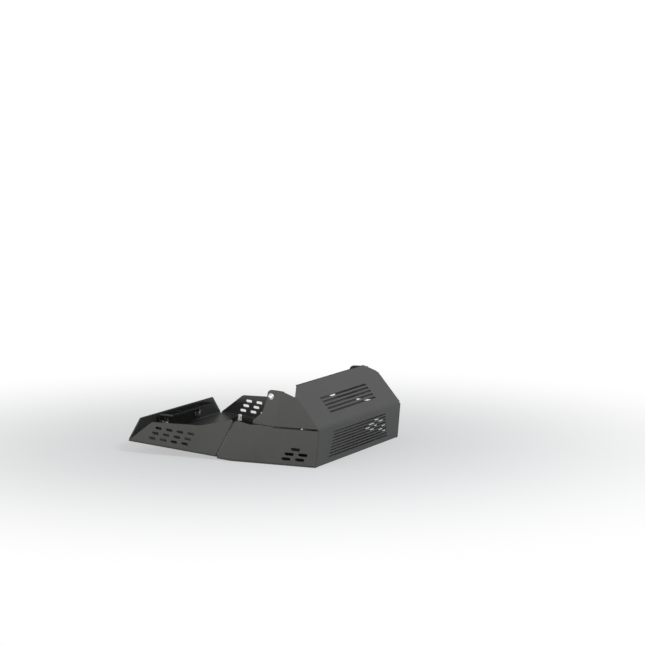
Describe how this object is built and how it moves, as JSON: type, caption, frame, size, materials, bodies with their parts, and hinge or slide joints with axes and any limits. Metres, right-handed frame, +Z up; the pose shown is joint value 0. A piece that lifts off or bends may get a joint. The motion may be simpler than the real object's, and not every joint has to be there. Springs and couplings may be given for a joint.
{
  "type": "motorcycle skid plate",
  "caption": "Folded metal skid plate for a motorcycle, with a slotted front face, a slanted shield, side wings, an oil drain opening, brackets and screws.",
  "frame": {"origin": "middle of the overall box, on the ground plane under the flat front floor", "axes": "+X points forward to the slotted face, +Y to the left side, +Z up; the side seen in the picture is -Y"},
  "size_m": [0.436, 0.4002, 0.1551],
  "materials": {
    "powder_coat": "matt fine-grained black powder coat",
    "bracket_coat": "satin black coat on steel",
    "zinc_steel": "bright zinc plate",
    "rubber": "matt"
  },
  "bodies": {
    "root": {"front_plate": "powder_coat", "rear_plate": "powder_coat", "front_bracket_right": "bracket_coat", "front_bracket_left": "bracket_coat", "rear_bracket": "bracket_coat", "overlap_screws": "zinc_steel", "overlap_washers": "zinc_steel", "overlap_nuts": "zinc_steel", "wing_screw_right": "zinc_steel", "wing_screw_left": "zinc_steel", "wing_nut_right": "zinc_steel", "wing_nut_left": "zinc_steel", "rear_screws": "zinc_steel", "rear_sleeves": "zinc_steel", "rear_washers": "zinc_steel", "rear_nuts": "zinc_steel", "sump_screws": "zinc_steel", "sump_washers": "zinc_steel", "sump_spacers": "zinc_steel", "wing_pad_right": "rubber", "wing_pad_left": "rubber", "rear_grommets": "rubber", "sump_pads": "rubber", "floor_pads": "rubber"}
  },
  "joints": []
}
